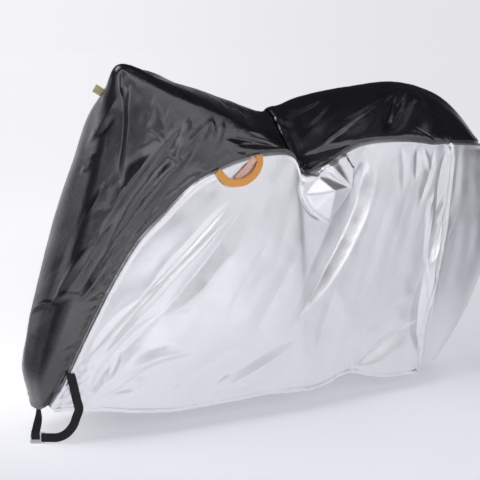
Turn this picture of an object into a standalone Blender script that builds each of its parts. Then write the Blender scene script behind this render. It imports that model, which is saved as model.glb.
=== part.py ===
"""Fitted bicycle cover with a black front and top, silver sides and back, straps, a buckle and loops.

All lengths are metres. The cover is described as it hangs over a floor at z = 0. +X runs from its front
to its back, -Y is its near side and +Y its far side. The finished pieces are then moved so that the
origin is the point under the top that a saddle carries.
"""

from collections import namedtuple
from math import cos, radians, sin

import bpy
import numpy as np
from mathutils import Matrix, Vector

# ---------------------------------------------------------------- driving dimensions
CLOTH = 0.002  # thickness of the cloth
SEAM_GAP = 0.0004  # between two panels that are sewn edge to edge
SADDLE = (0.58, 0.0, 1.030)  # where the saddle carries the top
HANDLEBAR_SWING = 0.26  # how much further back the far grip is than the near one
FAR_GRIP_DROP = 0.03
GRIP_ROW, GRIP_REACH = 7.3, 5  # the row over the grips, and how many rows they move on each side of it
BELLY = 0.022  # how far the sides bulge at the middle of the cover
BELLY_ROW, BELLY_REACH = 7.5, 8
WEBBING = 0.026  # width of the straps
WEBBING_THICK = 0.0016
LOOP_WEBBING = 0.024
TAB_LENGTH = 0.026
TAB_THICK = 0.0026

# The rows of the cover, from the front hem over the handlebar and the saddle to the back hem. Each is a
# line across the cover through these places: the middle of the top, and on the near side the shoulder,
# the seam of the top with the side, and the hem.
Row = namedtuple(
    "Row", "top_x top_z shoulder_x shoulder_y shoulder_z seam_x seam_y seam_z hem_x hem_y hem_z"
)
ROWS = [
    Row(-.740, .092, -.735, -.050, .098, -.726, -.090, .120, -.712, -.100, .100),  # front hem
    Row(-.764, .200, -.742, -.080, .200, -.672, -.112, .215, -.648, -.119, .100),
    Row(-.748, .310, -.710, -.100, .315, -.610, -.130, .345, -.575, -.133, .090),
    Row(-.712, .460, -.665, -.125, .470, -.540, -.152, .485, -.480, -.148, .076),
    Row(-.670, .640, -.620, -.160, .660, -.470, -.175, .600, -.375, -.158, .066),
    Row(-.605, .820, -.580, -.190, .860, -.395, -.190, .675, -.260, -.165, .062),
    Row(-.535, .970, -.560, -.212, 1.010, -.310, -.200, .752, -.150, -.167, .067),
    Row(-.400, 1.062, -.530, -.220, 1.098, -.237, -.205, .789, -.060, -.170, .070),  # grips
    Row(-.240, 1.035, -.380, -.208, 1.040, -.160, -.200, .817, .000, -.170, .068),
    Row(-.100, .995, -.185, -.182, .960, -.060, -.190, .835, .050, -.170, .065),
    Row(.020, .957, -.010, -.155, .872, .045, -.178, .828, .095, -.169, .064),
    Row(.075, .968, .072, -.148, .828, .090, -.172, .764, .130, -.166, .061),  # lapped seam
    Row(.190, 1.002, .170, -.125, .890, .170, -.168, .785, .190, -.160, .068),
    Row(.370, 1.025, .330, -.110, .950, .300, -.168, .846, .285, -.150, .090),
    Row(.580, 1.034, .535, -.090, 1.000, .450, -.170, .857, .385, -.142, .064),  # saddle
    Row(.780, .965, .700, -.105, .930, .590, -.168, .842, .460, -.137, .049),
    Row(.932, .785, .840, -.125, .800, .682, -.160, .815, .510, -.133, .046),
    Row(.992, .560, .870, -.128, .580, .670, -.160, .600, .540, -.130, .045),
    Row(.968, .370, .830, -.122, .380, .645, -.150, .400, .562, -.127, .044),
    Row(.885, .210, .775, -.108, .200, .606, -.130, .220, .582, -.123, .043),
    Row(.800, .085, .700, -.082, .068, .601, -.119, .066, .597, -.121, .044),  # back hem
]
LAP_SEAM = 10.75  # the row, as a number along ROWS, where the back of the top begins
LAP_END = 11.0  # where the front of the top ends, under the back
WELT_END = 11.12  # where the doubled edge of the back ends
BACK_SEAM = 15.85  # where the top meets the back panel

# The columns across the cover: hem, belly, seam, shoulder, top, shoulder, seam, belly, hem.
NEAR_SEAM, TOP, FAR_SEAM, FAR_HEM = 2, 4, 6, 8
ROUNDING = (0, .5, .2, .25, .45, .25, .2, .5, 0)  # reach of the rounding at each column
MADE_UP = 0.84  # the share of what the rounding takes off that the places are moved out by
SWING_SHARES = (1, .5, .2, 0)  # how much of the swing reaches the far shoulder, seam, belly and hem

# How many steps the mesh takes along the rows and across the columns, between these numbers.
ALONG = ((0, 2, 5), (2, 6, 12), (6, 8, 9), (8, LAP_SEAM, 10), (LAP_SEAM, LAP_END, 2), (LAP_END, WELT_END, 1),
         (WELT_END, 13, 8), (13, BACK_SEAM, 11), (BACK_SEAM, 20, 13))
ACROSS = ((0, NEAR_SEAM, 15), (NEAR_SEAM, TOP, 8), (TOP, FAR_SEAM, 6), (FAR_SEAM, FAR_HEM, 9))

# The folds are laid out as they look from an eye in front of the near side. They are drawn on an upright
# plane that faces the eye: a runs to the right of it and h is the height. A fold is a soft crease along a
# curve through three places. Rise is how far its line stands out of the cloth, or into it if negative,
# and the cloth reaches it from left and right, as seen walking from a0 to a2.
EYE = (-1.801, -3.182, 1.15)
EYE_HEADING = radians(29)
EYE_TO_PLANE = 3.5
FACING = 0.3  # cloth that faces the eye this squarely or more has its folds at full height
CREST = 1.4  # 1 is a fold with straight flanks, and more is a sharper one
FADE = 0.22  # the share of a fold's length over which each of its ends runs out
Fold = namedtuple("Fold", "a0 h0 a1 h1 a2 h2 rise left right")
NEAR_FOLDS = [
    Fold(.050, .710, -.255, .365, -.450, .145, .015, .060, .050),  # handlebar to front corner
    Fold(.465, .850, .295, .480, .210, .320, .028, .075, .060),  # saddle to pedal
    Fold(.370, .785, .215, .450, .070, .230, -.018, .045, .065),  # hollow in front of it
    Fold(-.090, .065, .065, .155, .200, .265, .018, .050, .055),  # pedal to hem
    Fold(-.385, .105, -.285, .175, -.125, .205, .009, .040, .045),  # over the front wheel
    Fold(.350, .155, .425, .230, .565, .310, -.012, .040, .045),  # over the back wheel
    Fold(-.150, .940, -.395, .670, -.610, .310, .016, .055, .050),  # long ridges of the front
    Fold(-.080, .940, -.285, .705, -.530, .335, .014, .045, .050),
    Fold(-.355, 1.055, -.360, .900, -.375, .690, .012, .040, .045),  # below the grip
    Fold(-.330, 1.065, -.335, .885, -.365, .690, -.014, .045, .040),
    Fold(.205, .820, .320, .915, .460, 1.015, .018, .045, .055),  # tip of the lap to the saddle
    Fold(.505, 1.030, .475, .955, .440, .890, -.013, .040, .035),  # below the saddle
]
FAR_FOLDS = [
    Fold(-.500, .850, -.250, .520, .050, .150, .018, .070, .070),  # saddle to pedal
    Fold(.060, .760, .250, .450, .440, .180, .016, .070, .070),  # handlebar to front corner
    Fold(.150, .930, .380, .640, .560, .300, .014, .060, .060),
    Fold(-.600, .720, -.560, .450, -.540, .150, .012, .060, .050),
]

# The folded corner of the near side under the tip of the lap, as a faceted bulge: places on the same
# plane, how far each stands out, and the triangles between them.
Place = namedtuple("Place", "a h rise")
CORNER = {
    "tip": Place(.186, .767, .000),
    "heel": Place(.254, .761, .016),
    "brow": Place(.348, .816, .000),
    "left": Place(.196, .703, .000),
    "peak": Place(.276, .718, .032),
    "right": Place(.334, .718, .012),
    "point": Place(.274, .625, .000),
    "flank": Place(.233, .665, .004),
}
CORNER_FACETS = (
    ("tip", "left", "peak"), ("tip", "peak", "heel"), ("left", "flank", "peak"), ("flank", "point", "peak"),
    ("heel", "peak", "right"), ("heel", "right", "brow"), ("peak", "point", "right"),
)

ALONG_STEP = np.array([-.02, 0, .02])  # the cloth round one place is worked out on these rows
ACROSS_STEP = np.array([-.01, 0, .01])  # and columns

# What is sewn to the cloth: the row, the column and how far off the cloth it is.
NEAR_STRAP_SEWN = (
    (1.08, 1.80, .0016), (1.08, 1.55, .0016), (1.08, 1.25, .0016), (1.08, .90, .0016), (1.08, .50, .0016),
    (1.08, .10, .0016),
)
FRONT_STRAP_SEWN = ((.34, 3.4, -.0044), (.18, 3.4, -.0044), (.02, 3.4, -.0044))  # behind the cloth
LOOP_ROUTE = (
    (7.12, 1.975, .0014), (7.22, 1.925, .004), (7.45, 1.865, .009), (8.00, 1.825, .012), (8.45, 1.850, .011),
    (8.72, 1.915, .006), (8.80, 1.970, .0014),
)
LINING_ROUTE = ((8.62, 1.960, .0014), (8.35, 1.930, .003), (8.05, 1.890, .005), (7.75, 1.865, .005))
LINING_SHARE = 0.8  # of the loop's width
TAB_AT = (6.22, 3.50, .0006)

# The buckle stands on the floor, facing the eye and leaning back. Sizes are along its right, its up and
# its thickness, and places are measured the same way from the middle of its body.
BUCKLE_AT = (-.757, -.064, .0140)
BUCKLE_LEAN = radians(15)
BUCKLE_BODY = (.034, .024, .003)
BODY_SLOT = (.028, .008)
BODY_SLOT_AT = (-.0015, .003)
END_LOOP = (.013, .034, .003)
END_SLOT = (.008, .028)
END_LOOP_AT = (.019, .005)

# How the straps run on from the hem to the floor, and then through the buckle, measured on the buckle.
NEAR_STRAP_LOOSE = (
    (-.6520, -.1235, .0840), (-.6620, -.1190, .0560), (-.6800, -.1080, .0310), (-.7020, -.0960, .0200),
)
NEAR_STRAP_THREADED = (
    (.0380, .005, .0034), (.0300, .005, .0030), (.0230, .005, .0029), (.0190, .005, 0), (.0158, .005, -.0026),
    (.0135, .005, -.0031),
)
FRONT_STRAP_LOOSE = ((-.7400, -.0400, .0700), (-.7480, -.0480, .0480))
FRONT_STRAP_FACES = ((-.8, -.6, 0), (-.6, -.8, .1))  # which way its flat side faces there
FRONT_STRAP_THREADED = (
    (-.0015, .0200, .0036), (-.0015, .0125, .0030), (-.0015, .0070, .0029), (-.0015, .0030, 0),
    (-.0015, -.0010, -.0029), (-.0015, -.0100, -.0031),
)


# ---------------------------------------------------------------- the cloth's shape
def steps(stretches):
    """The numbers that ALONG or ACROSS describes, each once, in order."""
    return np.array([stretches[0][0]] + [
        start + (end - start) * (k + 1) / count for start, end, count in stretches for k in range(count)
    ])


def along_rows(table, at):
    """Values of a table between its rows, on smooth curves through them."""
    table = np.array(table, float)
    padded = np.vstack([2 * table[0] - table[1], table, 2 * table[-1] - table[-2]])
    row = np.minimum(at.astype(int), len(table) - 2)
    f = (at - row)[:, None]
    p0, p1, p2, p3 = (padded[row + k] for k in range(4))
    return (
        p1 + (p2 - p0) * f / 2
        + (2 * p0 - 5 * p1 + 4 * p2 - p3) * f**2 / 2
        + (3 * p1 - p0 - 3 * p2 + p3) * f**3 / 2
    )


def swell(at, centre, reach):
    """1 at the centre, falling smoothly to 0 at the reach on both sides."""
    return np.cos(np.clip((at - centre) / reach, -1, 1) * np.pi / 2) ** 2


def places(rows):
    """The nine places across the cover at each of the given rows."""
    v = along_rows(ROWS, rows)
    top = np.stack([v[:, 0], 0 * rows, v[:, 1]], 1)
    shoulder, seam, hem = v[:, 2:5], v[:, 5:8], v[:, 8:11]
    belly = (seam + hem) / 2
    belly[:, 1] -= BELLY * swell(rows, BELLY_ROW, BELLY_REACH)
    grips = swell(rows, GRIP_ROW, GRIP_REACH)
    far = []
    for near, share in zip((shoulder, seam, belly, hem), SWING_SHARES):
        other = near * (1, -1, 1)
        other[:, 0] += share * HANDLEBAR_SWING * grips
        far.append(other)
    far[0][:, 2] -= FAR_GRIP_DROP * grips
    return np.stack([hem, belly, seam, shoulder, top] + far, 1)


def cloth(rows, columns):
    """Points of the cover without its folds, on straight lines across that are rounded at each place."""
    given = places(rows)
    corner = given[:, :-2] - 2 * given[:, 1:-1] + given[:, 2:]
    at = given.copy()
    at[:, 1:-1] -= corner * np.array(ROUNDING[1:-1])[None, :, None] / 4 * MADE_UP
    first = np.minimum(columns.astype(int), FAR_HEM - 1)
    f = (columns - first)[None, :, None]
    points = at[:, first] * (1 - f) + at[:, first + 1] * f
    for k in range(1, FAR_HEM):
        turn = at[:, k - 1] - 2 * at[:, k] + at[:, k + 1]
        near = np.maximum(0, ROUNDING[k] - abs(columns - k)) ** 2 / (4 * ROUNDING[k])
        points = points + turn[:, None] * near[None, :, None]
    return points


def unit(vectors):
    return vectors / np.maximum(np.linalg.norm(vectors, axis=-1, keepdims=True), 1e-9)


def outward(points):
    """The direction out of the cover at each point of a grid."""
    return unit(np.cross(np.gradient(points, axis=0), np.gradient(points, axis=1)))


def seen_from(side, points, out):
    """Where points lie on the eye's plane, and how squarely the cloth there faces it. side is -1 for the
    eye in front of the near side, and +1 for its mirror image in front of the far side."""
    eye = np.array(EYE) * (1, -side, 1)
    ahead = np.array([sin(EYE_HEADING), -side * cos(EYE_HEADING), 0])
    right = np.array([-side * cos(EYE_HEADING), -sin(EYE_HEADING), 0])
    away = points - eye
    depth = away @ ahead
    facing = np.clip(-(unit(away) * out).sum(-1) / FACING, 0, 1)
    return (
        EYE_TO_PLANE * (away @ right) / depth,
        EYE[2] + EYE_TO_PLANE * away[..., 2] / depth,
        facing**2 * (3 - 2 * facing),
    )


def fold_height(fold, a, h):
    """How far a fold lifts the cloth at the places (a, h) of the eye's plane."""
    ends = np.array([[fold.a0, fold.h0], [fold.a1, fold.h1], [fold.a2, fold.h2]])
    bend = 2 * ends[1] - (ends[0] + ends[2]) / 2
    u = np.linspace(0, 1, 17)[:, None]
    curve = ends[0] * (1 - u) ** 2 + bend * 2 * u * (1 - u) + ends[2] * u**2
    nearest = np.full(a.shape, 1e9)
    lift = np.zeros(a.shape)
    for k, (p, q) in enumerate(zip(curve[:-1], curve[1:])):
        run = q - p
        da, dh = a - p[0], h - p[1]
        part = np.clip((da * run[0] + dh * run[1]) / (run @ run), 0, 1)
        away = np.hypot(da - part * run[0], dh - part * run[1])
        reach = np.where(run[0] * dh - run[1] * da > 0, fold.left, fold.right)
        done = (k + part) / (len(curve) - 1)
        here = np.clip(1 - away / reach, 0, 1) ** CREST * np.clip(np.minimum(done, 1 - done) / FADE, 0, 1)
        lift = np.where(away < nearest, here, lift)
        nearest = np.minimum(away, nearest)
    return fold.rise * lift


def corner_height(a, h):
    """How far the facets of the folded corner lift the cloth at (a, h)."""
    lift = np.zeros(a.shape)
    for names in CORNER_FACETS:
        p, q, r = (CORNER[name] for name in names)
        whole = (q.a - p.a) * (r.h - p.h) - (r.a - p.a) * (q.h - p.h)
        v = ((a - p.a) * (r.h - p.h) - (r.a - p.a) * (h - p.h)) / whole
        w = ((q.a - p.a) * (h - p.h) - (a - p.a) * (q.h - p.h)) / whole
        inside = (v >= 0) & (w >= 0) & (v + w <= 1)
        lift = np.where(inside, p.rise * (1 - v - w) + q.rise * v + r.rise * w, lift)
    return lift


def folded(points):
    """The points of a grid with the cover's folds."""
    out = outward(points)
    a, h, facing = seen_from(-1, points, out)
    lift = facing * (sum(fold_height(fold, a, h) for fold in NEAR_FOLDS) + corner_height(a, h))
    a, h, facing = seen_from(1, points, out)
    lift += facing * sum(fold_height(fold, a, h) for fold in FAR_FOLDS)
    return points + out * lift[..., None]


def flatter_split(rows, columns, points):
    """For each cell of the grid, whether its diagonal from the first corner lies nearer the cloth."""
    middle = folded(cloth((rows[:-1] + rows[1:]) / 2, (columns[:-1] + columns[1:]) / 2))
    one = (points[:-1, :-1] + points[1:, 1:]) / 2
    other = (points[1:, :-1] + points[:-1, 1:]) / 2
    return np.linalg.norm(one - middle, axis=-1) <= np.linalg.norm(other - middle, axis=-1)


# ---------------------------------------------------------------- Blender objects
def material(name, colour, roughness, metallic=0.0):
    made = bpy.data.materials.new(name)
    made.use_nodes = True
    shader = made.node_tree.nodes["Principled BSDF"]
    shader.inputs["Base Color"].default_value = (*colour, 1)
    shader.inputs["Roughness"].default_value = roughness
    shader.inputs["Metallic"].default_value = metallic
    return made


def add_object(name, mesh, surface, collection):
    mesh.materials.append(surface)
    piece = bpy.data.objects.new(name, mesh)
    collection.objects.link(piece)
    return piece


def parted(grid):
    """A panel's grid with each edge drawn in by half of the gap between panels."""
    grid = grid.copy()
    for end, inner in ((0, 1), (-1, -2)):
        grid[end] += unit(grid[inner] - grid[end]) * SEAM_GAP / 2
    for end, inner in ((0, 1), (-1, -2)):
        grid[:, end] += unit(grid[:, inner] - grid[:, end]) * SEAM_GAP / 2
    return grid


def panel(name, outer, inner, split, surface, collection):
    """A closed solid between the outer and the inner grid of one panel."""
    outer, inner = parted(outer), parted(inner)
    rows, columns = outer.shape[:2]
    index = np.arange(rows * columns).reshape(rows, columns)
    faces = []
    for i in range(rows - 1):
        for j in range(columns - 1):
            a, b, c, d = index[i, j], index[i + 1, j], index[i + 1, j + 1], index[i, j + 1]
            faces += [(a, b, c), (a, c, d)] if split[i, j] else [(a, b, d), (b, c, d)]
    below = rows * columns
    faces += [(c + below, b + below, a + below) for a, b, c in faces]
    rim = [*index[:, 0], *index[-1, 1:], *index[-2::-1, -1], *index[0, -2:0:-1]]
    for a, b in zip(rim, rim[1:] + rim[:1]):  # panels that meet split their edges alike
        faces += [(b, a, max(a, b) + below), (min(a, b), a + below, b + below)]
    mesh = bpy.data.meshes.new(name)
    mesh.from_pydata(np.concatenate([outer.reshape(-1, 3), inner.reshape(-1, 3)]), [], faces)
    mesh.shade_smooth()
    return add_object(name, mesh, surface, collection)


def on_cloth(row, column, lift):
    """A point that far off the folded cloth at one row and column, and the cloth's outward direction."""
    points = folded(cloth(row + ALONG_STEP, column + ACROSS_STEP))
    out = outward(points)[1, 1]
    return points[1, 1] + out * lift, out


def ribbon(name, centres, faces, width, thick, steps_between, surface, collection):
    """A flat strap through the centres, whose flat side faces the given ways there."""
    at = np.linspace(0, len(centres) - 1, (len(centres) - 1) * steps_between + 1)
    line, face = along_rows(centres, at), unit(along_rows(faces, at))
    across = unit(np.cross(np.gradient(line, axis=0), face)) * width / 2
    points = np.concatenate([line - across, line + across]) - SADDLE
    count = len(line)
    mesh = bpy.data.meshes.new(name)
    mesh.from_pydata(points, [], [(k, k + 1, k + 1 + count, k + count) for k in range(count - 1)])
    mesh.shade_smooth()
    piece = add_object(name, mesh, surface, collection)
    solid = piece.modifiers.new("thickness", "SOLIDIFY")
    solid.thickness, solid.offset = thick, 0
    return piece


def buckle_axes():
    """The buckle's right, its up and the way it faces, as unit vectors."""
    right = Vector((cos(EYE_HEADING), -sin(EYE_HEADING), 0))
    back = Vector((sin(EYE_HEADING), cos(EYE_HEADING), 0))
    face = Vector((0, 0, sin(BUCKLE_LEAN))) - back * cos(BUCKLE_LEAN)
    return right, face.cross(right), face


def on_buckle(right, up, out):
    """A place measured from the middle of the buckle's body."""
    axes = buckle_axes()
    return np.array(BUCKLE_AT) + sum(np.array(axis) * d for axis, d in zip(axes, (right, up, out)))


def block(name, size, at, collection):
    """A box in line with the buckle."""
    bpy.ops.mesh.primitive_cube_add(size=1)
    made = bpy.context.object
    made.name = made.data.name = name
    made.data.transform(Matrix.Diagonal((*size, 1)))
    right, up, face = buckle_axes()
    made.matrix_world = Matrix.Translation(Vector(on_buckle(*at, 0) - SADDLE)) @ Matrix(
        (right, up, face)
    ).transposed().to_4x4()
    for old in made.users_collection:
        old.objects.unlink(made)
    collection.objects.link(made)
    return made


def combine(piece, other, operation):
    step = piece.modifiers.new(operation.lower(), "BOOLEAN")
    step.operation, step.object = operation, other
    other.hide_render, other.display_type = True, "WIRE"


def add_buckle(surface, cover, cutters):
    """A flat plastic frame with a slot for each of the two straps."""
    buckle = block("buckle", BUCKLE_BODY, (0, 0), cover)
    combine(buckle, block("end_loop", END_LOOP, END_LOOP_AT, cutters), "UNION")
    combine(buckle, block("body_slot", (*BODY_SLOT, .01), BODY_SLOT_AT, cutters), "DIFFERENCE")
    combine(buckle, block("end_slot", (*END_SLOT, .01), END_LOOP_AT, cutters), "DIFFERENCE")
    rounded = buckle.modifiers.new("rounded", "BEVEL")
    rounded.width, rounded.segments = .0005, 1
    buckle.data.materials.append(surface)


def add_straps(surface, collection):
    """The strap on the near side and the one at the front, which the buckle joins on the floor."""
    face = tuple(buckle_axes()[2])
    sewn = [on_cloth(*place) for place in NEAR_STRAP_SEWN]
    loose = list(NEAR_STRAP_LOOSE) + [on_buckle(*place) for place in NEAR_STRAP_THREADED]
    ribbon("near_strap", [point for point, _ in sewn] + loose, [out for _, out in sewn] + [face] * len(loose),
           WEBBING, WEBBING_THICK, 3, surface, collection)

    sewn = [on_cloth(*place) for place in FRONT_STRAP_SEWN]
    threaded = [on_buckle(*place) for place in FRONT_STRAP_THREADED]
    ribbon("front_strap", [point for point, _ in sewn] + list(FRONT_STRAP_LOOSE) + threaded,
           [out for _, out in sewn] + list(FRONT_STRAP_FACES) + [face] * len(threaded),
           WEBBING, WEBBING_THICK, 3, surface, collection)


def add_loops(orange, yellow, collection):
    """The doubled loop that is sewn into the near seam, and the tab that is sewn to the front."""
    for name, route, width, steps_between in (
        ("side_loop", LOOP_ROUTE, LOOP_WEBBING, 4),
        ("side_loop_lining", LINING_ROUTE, LOOP_WEBBING * LINING_SHARE, 3),
    ):
        placed = [on_cloth(*place) for place in route]
        ribbon(name, [point for point, _ in placed], [out for _, out in placed], width, WEBBING_THICK,
               steps_between, orange, collection)
    root, out = on_cloth(*TAB_AT)
    ribbon("front_tab", [root + out * TAB_LENGTH * k / 3 for k in range(4)], [tuple(buckle_axes()[2])] * 4,
           LOOP_WEBBING, TAB_THICK, 1, yellow, collection)


def build():
    for old in list(bpy.data.objects):
        bpy.data.objects.remove(old, do_unlink=True)
    cover = bpy.data.collections.new("bicycle_cover")
    cutters = bpy.data.collections.new("cutters")
    for made in (cover, cutters):
        bpy.context.scene.collection.children.link(made)

    rows, columns = steps(ALONG), steps(ACROSS)
    outer = folded(cloth(rows, columns))
    split = flatter_split(rows, columns, outer)
    out = outward(outer)
    inner = outer - out * CLOTH
    outer, inner = outer - SADDLE, inner - SADDLE

    black = material("black_cloth", (.035, .035, .04), .45)
    silver = material("silver_cloth", (.62, .62, .65), .35, .3)

    def part(first_row, last_row, first_column, last_column):
        r = np.flatnonzero((rows >= first_row - 1e-9) & (rows <= last_row + 1e-9))
        c = np.flatnonzero((columns >= first_column - 1e-9) & (columns <= last_column + 1e-9))
        return slice(r[0], r[-1] + 1), slice(c[0], c[-1] + 1)

    def add_panel(name, where, surface, lift_outer=0.0, lift_inner=0.0):
        r, c = where
        cells = split[r.start:r.stop - 1, c.start:c.stop - 1]
        panel(name, (outer + out * lift_outer)[r, c], (inner + out * lift_inner)[r, c], cells, surface, cover)

    # The doubled front edge of the back of the top lies on the front's last stretch.
    under = ((rows >= LAP_SEAM - 1e-9) & (rows <= LAP_END + 1e-9))[:, None, None]
    welt = ((rows >= LAP_SEAM - 1e-9) & (rows <= WELT_END + 1e-9))[:, None, None]
    add_panel("front_top_panel", part(0, LAP_END, NEAR_SEAM, FAR_SEAM), black)
    add_panel("rear_top_panel", part(LAP_SEAM, BACK_SEAM, NEAR_SEAM, FAR_SEAM), black,
              welt * (2 * CLOTH + SEAM_GAP), under * (CLOTH + SEAM_GAP))
    add_panel("back_panel", part(BACK_SEAM, 20, NEAR_SEAM, FAR_SEAM), silver)
    add_panel("near_side_panel", part(0, 20, 0, NEAR_SEAM), silver)
    add_panel("far_side_panel", part(0, 20, FAR_SEAM, FAR_HEM), silver)

    add_straps(material("black_webbing", (.02, .02, .022), .75), cover)
    add_buckle(material("clear_plastic", (.75, .75, .78), .25), cover, cutters)
    add_loops(material("orange_webbing", (.9, .35, .05), .7), material("yellow_webbing", (.75, .72, .35), .7),
              cover)


build()
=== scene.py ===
"""Looks of a fitted bicycle cover: creased cloth panels, webbing, stitches, their materials and the studio.

Lengths are metres. The cover's shape is described as it hangs over a floor at z = 0, with +X from its front
to its back and -Y its near side, and is then moved into the row frame by SADDLE, as its solids are.
"""

from collections import namedtuple
from math import cos, pi, radians, sin

import bpy
import numpy as np
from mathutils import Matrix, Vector


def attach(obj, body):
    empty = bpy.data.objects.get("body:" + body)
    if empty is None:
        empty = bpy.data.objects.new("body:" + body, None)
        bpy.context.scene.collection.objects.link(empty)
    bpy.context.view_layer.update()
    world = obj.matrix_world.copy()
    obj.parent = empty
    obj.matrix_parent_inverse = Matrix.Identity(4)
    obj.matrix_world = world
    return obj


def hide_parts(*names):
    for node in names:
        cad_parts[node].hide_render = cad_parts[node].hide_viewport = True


# ------ the shape, as the solids have it
SADDLE = (.58, 0, 1.03)
HANDLEBAR_SWING = .26  # how far back, +X, the far grip lies from the near one
FAR_GRIP_DROP = .03
GRIP_ROW, GRIP_REACH = 7.3, 5  # the row at which both are full, and over how many rows they fade
BELLY = .022  # how far the sides bulge between the seam and the hem
BELLY_ROW, BELLY_REACH = 7.5, 8
WEBBING = .026
WEBBING_THICK = .0016
LOOP_WEBBING = .024
# painted light: the paler pink tape on the loop's inner side stands in for light showing through the thin
# orange webbing
INNER_FACE_SHARE = .8  # of the loop's width
TAB_LENGTH = .026
TAB_THICK = .0026

ROWS = (  # x and z of the top, then x, y and z of the near shoulder, seam and hem
    (-.74, .092, -.735, -.05, .098, -.726, -.09, .12, -.712, -.1, .1),  # front hem
    (-.764, .2, -.742, -.08, .2, -.672, -.112, .215, -.648, -.119, .1),
    (-.748, .31, -.71, -.1, .315, -.61, -.13, .345, -.575, -.133, .09),
    (-.712, .46, -.665, -.125, .47, -.54, -.152, .485, -.48, -.148, .076),
    (-.67, .64, -.62, -.16, .66, -.47, -.175, .6, -.375, -.158, .066),
    (-.605, .82, -.58, -.19, .86, -.395, -.19, .675, -.26, -.165, .062),
    (-.535, .97, -.56, -.212, 1.01, -.31, -.2, .752, -.15, -.167, .067),
    (-.4, 1.062, -.53, -.22, 1.098, -.237, -.205, .789, -.06, -.17, .07),  # grips
    (-.24, 1.035, -.38, -.208, 1.04, -.16, -.2, .817, 0, -.17, .068),
    (-.1, .995, -.185, -.182, .96, -.06, -.19, .835, .05, -.17, .065),
    (.02, .957, -.01, -.155, .872, .045, -.178, .828, .095, -.169, .064),
    (.075, .968, .072, -.148, .828, .09, -.172, .764, .13, -.166, .061),  # lapped seam
    (.19, 1.002, .17, -.125, .89, .17, -.168, .785, .19, -.16, .068),
    (.37, 1.025, .33, -.11, .95, .3, -.168, .846, .285, -.15, .09),
    (.58, 1.034, .535, -.09, 1, .45, -.17, .857, .385, -.142, .064),  # saddle
    (.78, .965, .7, -.105, .93, .59, -.168, .842, .46, -.137, .049),
    (.932, .785, .84, -.125, .8, .682, -.16, .815, .51, -.133, .046),
    (.992, .56, .87, -.128, .58, .67, -.16, .6, .54, -.13, .045),
    (.968, .37, .83, -.122, .38, .645, -.15, .4, .562, -.127, .044),
    (.885, .21, .775, -.108, .2, .606, -.13, .22, .582, -.123, .043),
    (.8, .085, .7, -.082, .068, .601, -.119, .066, .597, -.121, .044),  # back hem
)
LAST_ROW = len(ROWS) - 1
LAP_SEAM, LAP_END, WELT_END, BACK_SEAM = 10.75, 11.0, 11.12, 15.85
NEAR_SEAM, TOP, FAR_SEAM, FAR_HEM = 2, 4, 6, 8  # columns: the places across, from the near hem, column 0
ROUNDING = (0, .5, .09, .25, .45, .25, .09, .5, 0)  # how many columns around each place are rounded
MADE_UP = .84  # the share of what the rounding cuts off each place that is added to it first
SWING_SHARES = (1, .5, .2, 0)  # of the handlebar's swing, at the far shoulder, seam, belly and hem

# The folds are drawn on an upright plane in front of the eye, in metres to its right, a, and of height, h.
EYE = (-1.801, -3.182, 1.15)
EYE_HEADING = radians(29)
EYE_TO_PLANE = 3.5
FACING = .3  # how squarely the cloth faces the eye where folds have their full height

# What is sewn to the cloth: the row, the column and how far off the cloth it is.
NEAR_STRAP_SLANT = .02  # how much higher one edge of the strap starts
NEAR_STRAP_SEWN = (
    (1.08, 1.84, .003), (1.08, 1.55, .0034), (1.08, 1.25, .0034), (1.08, .9, .0034),
    (1.08, .5, .0034), (1.08, .1, .0034),
)
FRONT_STRAP_SEWN = ((.34, 3.4, -.0044), (.18, 3.4, -.0044), (.02, 3.4, -.0044))  # behind the cloth
LOOP_ROUTE = (
    (7.12, 1.99, .0045), (7.22, 1.925, .007), (7.45, 1.865, .01), (8, 1.825, .012),
    (8.45, 1.85, .011), (8.72, 1.915, .007), (8.8, 1.985, .004),
)
# painted light: the route of the paler pink tape inside the loop, which stands in for light showing through
# the thin orange webbing
INNER_FACE_ROUTE = ((8.62, 1.975, .003), (8.35, 1.93, .004), (8.05, 1.89, .005), (7.75, 1.865, .006))
TAB_AT = (6.22, 3.5, .0004)

# The buckle stands on the floor and leans back. Places on it are along its right, its up and its thickness.
BUCKLE_AT = (-.757, -.064, .014)
BUCKLE_LEAN = radians(15)
NEAR_STRAP_LOOSE = (
    (-.652, -.1235, .084), (-.662, -.119, .056), (-.68, -.108, .031), (-.702, -.096, .02),
)
NEAR_STRAP_THREADED = (
    (.038, .005, .0034), (.03, .005, .003), (.023, .005, .0029), (.019, .005, 0),
    (.0158, .005, -.0026), (.0135, .005, -.0031),
)
FRONT_STRAP_LOOSE = ((-.74, -.04, .07), (-.748, -.048, .048))
FRONT_STRAP_FACES = ((-.8, -.6, 0), (-.6, -.8, .1))  # which way its flat side faces there
FRONT_STRAP_THREADED = (
    (-.0015, .02, .0036), (-.0015, .0125, .003), (-.0015, .007, .0029), (-.0015, .003, 0),
    (-.0015, -.001, -.0029), (-.0015, -.01, -.0031),
)

# ------ the camera
CAMERA_PITCH = radians(-9.53)
CAMERA_LENS_MM = 86.25
SENSOR_MM = 36
CAMERA_CLIP = (.1, 900)
PICTURE_SIDES = (.3, .66)  # how far to the right, +X, the left and right edges of the picture look

# ------ the studio's light
WALL = (.9, .9, .93, 1)  # colours that the world and the floor give off
WALL_RIGHT = (.78, .78, .81, 1)
ROOM = (.11, .11, .12, 1)
ROOM_ABOVE = (.04, .04, .045, 1)
WALL_TOP = (.24, .06)  # how steeply up it fades out, as a sine
WALL_BEHIND = (.25, .58)  # how far back, +Y, it fades in
FLOOR = (.82, .82, .84)
FLOOR_SIZE = 400
GLOW_NEAR = (.42, .42, .46, 1)
GLOW_LEFT = (.75, .75, .78, 1)
GLOW_FAR = (.855, .855, .885, 1)
GLOW_FAR_RIGHT = (.727, .727, .757, 1)
GLOW_FRONT = (.9, .9, .94, 1)  # in front of the cover, below the picture
GLOW_OUTSIDE = (.05, .05, .06, 1)  # beside the picture on the right, and around the eye
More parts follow.
